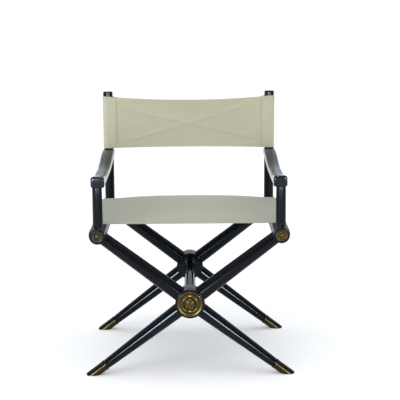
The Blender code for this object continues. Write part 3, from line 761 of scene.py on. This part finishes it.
def seat_pieces():
    """The seat in three pieces that meet on the rails' crowns: a wrap at each side and the taut middle."""
    top = RAIL.z + SEAT_RADIUS + 0.0002
    rows = close_at_edges(0.94, 0.93, 12, 70)
    corner = np.array([-0.0012, -0.0004, 0.0004, 0.0012])
    xs = np.concatenate([np.linspace(-RAIL.x, RAIL.x, 150), NOTCH_X + corner, -NOTCH_X - corner])
    xs = np.sort(xs)
    x, share = np.meshgrid(xs, rows)
    length = SEAT_EDGE + seat_back_edge(x)
    y = -SEAT_EDGE + length * (share + 1) / 2
    edge_of = np.minimum(y + SEAT_EDGE, seat_back_edge(x) - y)
    points = np.stack([x, y, top + seat_height(x, y)], axis=2)
    flat = np.stack([x, y], axis=2)
    middle = cloth("seat_sling_middle", points, flat, hem_thickness(edge_of), SEAT_CANVAS_AGED_SHADED)
    rows_of_stitches = []
    for face, place in FACES:
        line = []
        reach = RAIL.x - 0.002 if face < 0 else NOTCH_X - 0.006
        for px in np.linspace(-reach, reach, 120):
            py = HEM_STITCH - SEAT_EDGE if face < 0 else float(seat_back_edge(np.array(px))) - HEM_STITCH
            pz = top + float(seat_height(np.array(px), np.array(py))) + STITCH_LIFT
            line.append(((px, py, pz), (0, 0, 1)))
        rows_of_stitches.append(stitches(f"seat_hem_stitches_{place}", line, THREAD))
    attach(middle, "left_side")
    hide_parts("seat_sling")
    for piece in rows_of_stitches:
        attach(piece, "left_side")
    for piece in [middle] + rows_of_stitches:
        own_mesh(piece)
    turns = np.linspace(0, math.pi / 2 + SEAT_WRAP, 44)
    turns = np.sort(np.concatenate([turns, FLAP_TURN + np.radians([-2.0, -0.6, 0.6, 2.0])]))
    turns = np.radians(90) - turns
    for side, word in SIDES:
        turn, share = np.meshgrid(turns, rows)
        past_posts = np.clip((math.pi / 2 - turn - FLAP_TURN) / 0.02 + 0.5, 0, 1)
        reach = SEAT_EDGE + (SEAT_END - SEAT_EDGE) * past_posts
        y = share * reach
        radius = SEAT_RADIUS
        x = side * (RAIL.x + radius * np.cos(turn))
        z = RAIL.z + radius * np.sin(turn)
        wave = 0.00035 * np.sin(y * 41 + side) * np.clip((math.pi / 2 - turn) / 1.2, 0, 1)
        x = x + side * np.maximum(wave, -0.0002)
        points = np.stack([x, y, z], axis=2)
        run = side * (RAIL.x + radius * (math.pi / 2 - turn))
        flat = np.stack([run, y], axis=2)
        thick = hem_thickness(reach - np.abs(y))
        if side < 0:
            points, flat = points[:, ::-1], flat[:, ::-1]
            thick = thick[:, ::-1]
        wrap = cloth(f"seat_sling_wrap_{word}", points, flat, thick, SEAT_CANVAS_AGED_SHADED)
        body = f"{word}_side"
        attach(wrap, body)


STITCH_IN = 0.0150  # post's inner face to the sleeve's stitching
SEAM_X = abs(BACK_POST.x) - BACK_POST_R - STITCH_IN


def back_edge(x, low, high):
    """The back's lower and upper edge at x: both are drawn in at the middle by the cloth's tension."""
    share = np.clip(1 - (x / abs(BACK_POST.x)) ** 2, 0, 1)
    return low + 0.0045 * share, high - 0.0120 * share


def back_depth(x, v):
    """How far the back panel stands off its flat plane, towards the sitter: drag lines and a soft hollow."""
    u = x / abs(BACK_POST.x)
    hollow = -BACK_HOLLOW * (1 - u**2) * (1 - v**2) ** 0.5
    height = 0.5 * BACK_HEIGHT * v
    crease = -SEAM_DIP * np.exp(-(((np.abs(x) - SEAM_X) / SEAM_WIDTH) ** 2))
    for slope in (0.32, -0.247):
        line = (height - 0.001 - slope * (x + 0.004)) / math.hypot(1, slope)
        fade = np.clip(1 - np.abs(u) ** 3, 0, 1)
        crease += BACK_CREASE * np.exp(-np.abs(line) / 0.0055) * fade
    drag = np.zeros_like(x)
    rng = random.Random(BACK_SEED)
    for side in (-1, 1):
        for n in range(7):
            at = rng.uniform(-1, 1)
            slope = rng.uniform(-0.5, 0.5) - 0.5 * at
            reach = rng.uniform(0.3, 0.7)
            width = rng.uniform(0.10, 0.22)
            line = v - (at + slope * (1 - side * u))
            fade = np.clip(1 - (1 - side * u) / reach, 0, 1) ** 1.4 * np.clip((1 - side * u) / 0.05, 0, 1)
            drag += rng.uniform(-1, 1) * BACK_DRAG * np.exp(-((line / width) ** 2)) * fade
    return hollow + crease + drag


def back_pieces():
    """The back in three pieces: a sleeve sewn round each post, and the panel between the stitch lines."""
    post_x, post_y = abs(BACK_POST.x), BACK_POST.y
    plane = post_y - SLEEVE_R
    seam = SEAM_X
    vs = close_at_edges(0.84, 0.82, 14, 52)
    xs = np.linspace(-seam, seam, 150)
    x, v = np.meshgrid(xs, vs)

    def grid(x, v):
        low, high = back_edge(x, BACK_LOW, BACK_HIGH)
        return low + (high - low) * (v + 1) / 2

    z = grid(x, v)
    points = np.stack([x, plane - back_depth(x, v), z], axis=2)
    flat = np.stack([x, v * BACK_HEIGHT / 2], axis=2)
    edge = (1 - np.abs(vs)) * BACK_HEIGHT / 2
    thick = np.repeat(hem_thickness(edge)[:, None], len(xs), axis=1)
    middle = cloth("back_sling_panel", points, flat, thick, BACK_CANVAS)
    rows = []
    for way, word in ((-1, "low"), (1, "high")):
        line = []
        share = way * (1 - 2 * HEM_STITCH / BACK_HEIGHT)
        for px in np.linspace(-seam + 0.002, seam - 0.002, 120):
            px, pv = np.array(px), np.array(share)
            py = plane - float(back_depth(px, pv)) - STITCH_LIFT
            line.append(((float(px), py, float(grid(px, pv))), (0, -1, 0)))
        rows.append(stitches(f"back_hem_stitches_{word}", line, THREAD))
    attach(middle, "left_side")
    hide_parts("back_sling")
    for piece in rows:
        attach(piece, "left_side")
    for piece in [middle] + rows:
        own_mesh(piece)
    for side, word in SIDES:
        # The path round the post, seen from above, runs from the stitch line in front round the outside
        # and back to the stitch line behind.
        reach = post_x - seam
        front = [-reach * (1 - s) for s in np.linspace(0, 1, 16)]
        path = [(a, -SLEEVE_R + SEAM_DIP * math.exp(-(((a + reach) / SEAM_WIDTH) ** 2))) for a in front]
        round_post = np.linspace(0.08, math.radians(196), 40)
        path += [(SLEEVE_R * math.sin(t), -SLEEVE_R * math.cos(t)) for t in round_post]
        behind = -SLEEVE_R + CANVAS * 1.05
        tail_x, tail_y = path[-1]
        for s in np.linspace(0.08, 1, 14):
            ease = s * s * (3 - 2 * s)
            inwards = 0.25 * s + 0.75 * ease
            path.append((tail_x + (-reach - 0.006 - tail_x) * s, tail_y + (behind - tail_y) * inwards))
        path = np.array(path)
        steps = np.concatenate([[0], np.cumsum(np.linalg.norm(np.diff(path, axis=0), axis=1))])
        px, v = np.meshgrid(path[:, 0], vs)
        py, _ = np.meshgrid(path[:, 1], vs)
        run, _ = np.meshgrid(steps, vs)
        x = side * (post_x + px)
        z = grid(np.clip(x, -post_x, post_x), v)
        y = post_y + py
        y[:, 0] = plane - back_depth(x[:, 0], v[:, 0])
        points = np.stack([x, y, z], axis=2)
        flat = np.stack([side * (seam + run), v * BACK_HEIGHT / 2], axis=2)
        thick = np.repeat(hem_thickness(edge)[:, None], len(path), axis=1)
        if side < 0:
            points, flat = points[:, ::-1], flat[:, ::-1]
        sleeve = cloth(f"back_sling_sleeve_{word}", points, flat, thick, BACK_CANVAS)
        body = f"{word}_side"
        rows = []
        for number, inset in enumerate((0.0016, 0.0052)):
            line = []
            for pv in np.linspace(-0.97, 0.97, 60):
                sx = side * (seam + inset)
                pz = float(grid(np.array(sx), np.array(pv)))
                line.append(((sx, plane - CANVAS * 0.45, pz), (0, -1, 0)))
            rows.append(stitches(f"sleeve_stitches_{word}_{number + 1}", line, THREAD))
        for piece in [sleeve] + rows:
            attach(piece, body)


# ---------------------------------------------------------------- the chair

# Crests and hollows of a medallion's face: radius and height above its seat
BIG_WAVES = (
    (0.0362, 0.0028),
    (0.0290, 0.0012),
    (0.0232, 0.0042),
    (0.0172, 0.0010),
    (0.0130, 0.0036),
    (0.0104, 0.0020),
    (0.0080, 0.0028),
    (0, 0.0031),
)
SMALL_WAVES = (
    (0.0160, 0.0022),
    (0.0125, 0.0011),
    (0.0092, 0.0033),
    (0.0064, 0.0012),
    (0.0044, 0.0027),
    (0, 0.0030),
)
# Each post: radii at its foot and its top, and the rounding of its top edge
POSTS = (
    ("front_post", (0.0150, 0.0142), 0.0005),
    ("back_post", (0.0155, 0.0155), 0.0032),
)
POST_FOOT_OUT = 0.005  # left out of a post's foot, inside the rail
POST_IN_ARM = 0.004  # a front post's top, inside the arm
LEG_BODIES = {"left": "legs_left_feet", "right": "legs_right_feet"}
for face, place in FACES:
    for lean, foot in ((1, "left"), (-1, "right")):
        leg(face, lean, place, foot, LEG_BODIES[foot])
        ferrule(face, lean, place, foot, LEG_BODIES[foot])
    medallion(f"centre_medallion_{place}", 0, PIVOT.z, face, BIG_MEDALLION_R, "centre", BIG_WAVES, BRASS)
    for side, word in SIDES:
        name = f"rail_medallion_{word}_{place}"
        # The left medallions take the dimmer copy of the brass: painted shade.
        finish = BRASS_SHADED_LEFT if side < 0 else BRASS
        body = f"{word}_side"
        medallion(name, side * RAIL.x, RAIL.z, face, SMALL_MEDALLION_R, body, SMALL_WAVES, finish)

low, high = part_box("stretcher")
ends = [(0, low.y, 0), (STRETCHER_R, low.y, 0.001), (STRETCHER_R, high.y, 0.001), (0, high.y, 0)]
outline = rounded(ends, 4)
place = Matrix.Translation((0, 0, PIVOT.z)) @ Matrix.Rotation(math.radians(-90), 4, "X")
settle(turned("stretcher", outline, BLACK_Y, 96, place), "centre", "black_lacquer", "stretcher")

for side, word in SIDES:
    body = f"{word}_side"
    side_rail(f"side_rail_{word}", side, body)
    arm(f"arm_{word}", side, body)
    for kind, radii, tip in POSTS:
        low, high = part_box(f"{kind}_{word}")
        middle = (low + high) / 2
        top = ARM_UNDER + POST_IN_ARM if kind == "front_post" else high.z
        post(f"{kind}_{word}", middle.x, middle.y, low.z + POST_FOOT_OUT, top, radii, tip, body)

seat_pieces()
back_pieces()

for name, node in frame["nodes"].items():
    if node.hide_render:
        continue
    node.data.materials.clear()
    node.data.materials.append(BRASS if "nail" in name or "washer" in name else STEEL)
    node.data.shade_smooth()


# ---------------------------------------------------------------- floor, light and camera


def floor():
    """A pale square floor, far larger than the chair."""
    half = 120.0
    verts = [(-half, -half, 0), (half, -half, 0), (half, half, 0), (-half, half, 0)]
    made = new_piece("floor", verts, [(0, 1, 2, 3)], pale_floor("pale_floor"))


def area_light(name, place, target, size, power, colour=(1, 1, 1)):
    """A soft box of a size in metres and a power in watts, turned towards a point."""
    data = bpy.data.lights.new(name, "AREA")
    data.shape = "RECTANGLE"
    data.size, data.size_y = size
    data.energy = power
    data.color = colour
    made = bpy.data.objects.new(name, data)
    made.location = place
    made.rotation_euler = (Vector(target) - Vector(place)).to_track_quat("-Z", "Y").to_euler()
    bpy.context.scene.collection.objects.link(made)
    return made


def studio():
    """A pale room, white behind and above the chair and dim behind the camera, with soft boxes."""
    world = bpy.data.worlds.new("studio")
    bpy.context.scene.world = world
    world.use_nodes = True
    tree = world.node_tree
    place = add(tree, "ShaderNodeTexCoord").outputs["Generated"]
    split = add(tree, "ShaderNodeSeparateXYZ", Vector=place)
    depth = maths(tree, "MULTIPLY_ADD", split.outputs[1], 0.5, 0.5)
    wall = ramp(tree, depth, (0.0, 0.06), (0.30, 0.10), (0.62, 0.75), (1.0, 1.0))
    ceiling = ramp(tree, split.outputs[2], (0.35, 0.0), (0.85, 1.0))
    cool_wall = mix(tree, wall, (0, 0, 0), (0.86, 0.95, 1.08))
    tint = mix(tree, ceiling, cool_wall, (0.95, 0.97, 1.0))
    put(tree, tree.nodes["Background"], "Color", tint)
    tree.nodes["Background"].inputs["Strength"].default_value = 0.8
    sun = bpy.data.objects.new("soft_sun", bpy.data.lights.new("soft_sun", "SUN"))
    sun.data.energy = 1.65
    sun.data.angle = math.radians(100)
    sun.rotation_euler = (math.radians(12), 0, 0)
    sun.visible_glossy = False
    bpy.context.scene.collection.objects.link(sun)
    fill = area_light("fill", (-2.6, -3.4, 2.4), (0, 0, 0.5), (1.6, 1.6), 46)
    fill.visible_glossy = False
    cool = (0.86, 0.92, 1.0)
    for side, power in ((-1, 125), (1, 105)):
        strip = area_light("strip", (side * 1.36, -3.2, 0.58), (0, 0, 0.15), (0.60, 0.80), power, cool)
        strip.visible_diffuse = False
    glow = area_light("left_glow", (-0.62, -3.2, 0.38), (0, 0, 0.3), (0.36, 0.36), 4, cool)
    glow.visible_diffuse = False
    key = area_light("high_key", (0.0, -1.9, 2.6), (0, 0, 0.4), (0.50, 0.25), 60)
    key.visible_diffuse = False
    bpy.context.scene.view_settings.view_transform = "Standard"


def camera():
    """A long lens in front of the chair and above it, looking down, with no lens shift."""
    focal_px, frame_px = 1091.2, 400
    data = bpy.data.cameras.new("camera")
    data.sensor_width = 36.0
    data.lens = focal_px / frame_px * data.sensor_width
    made = bpy.data.objects.new("camera", data)
    made.location = (0.0043, -3.3289, 1.1354)
    yaw, pitch, roll = math.radians(-0.498), math.radians(11.046), math.radians(-0.338)
    turn = Matrix.Rotation(yaw, 4, "Z") @ Matrix.Rotation(math.radians(90) - pitch, 4, "X")
    made.rotation_euler = (turn @ Matrix.Rotation(roll, 4, "Z")).to_euler()
    bpy.context.scene.collection.objects.link(made)
    bpy.context.scene.camera = made


floor()
studio()
camera()
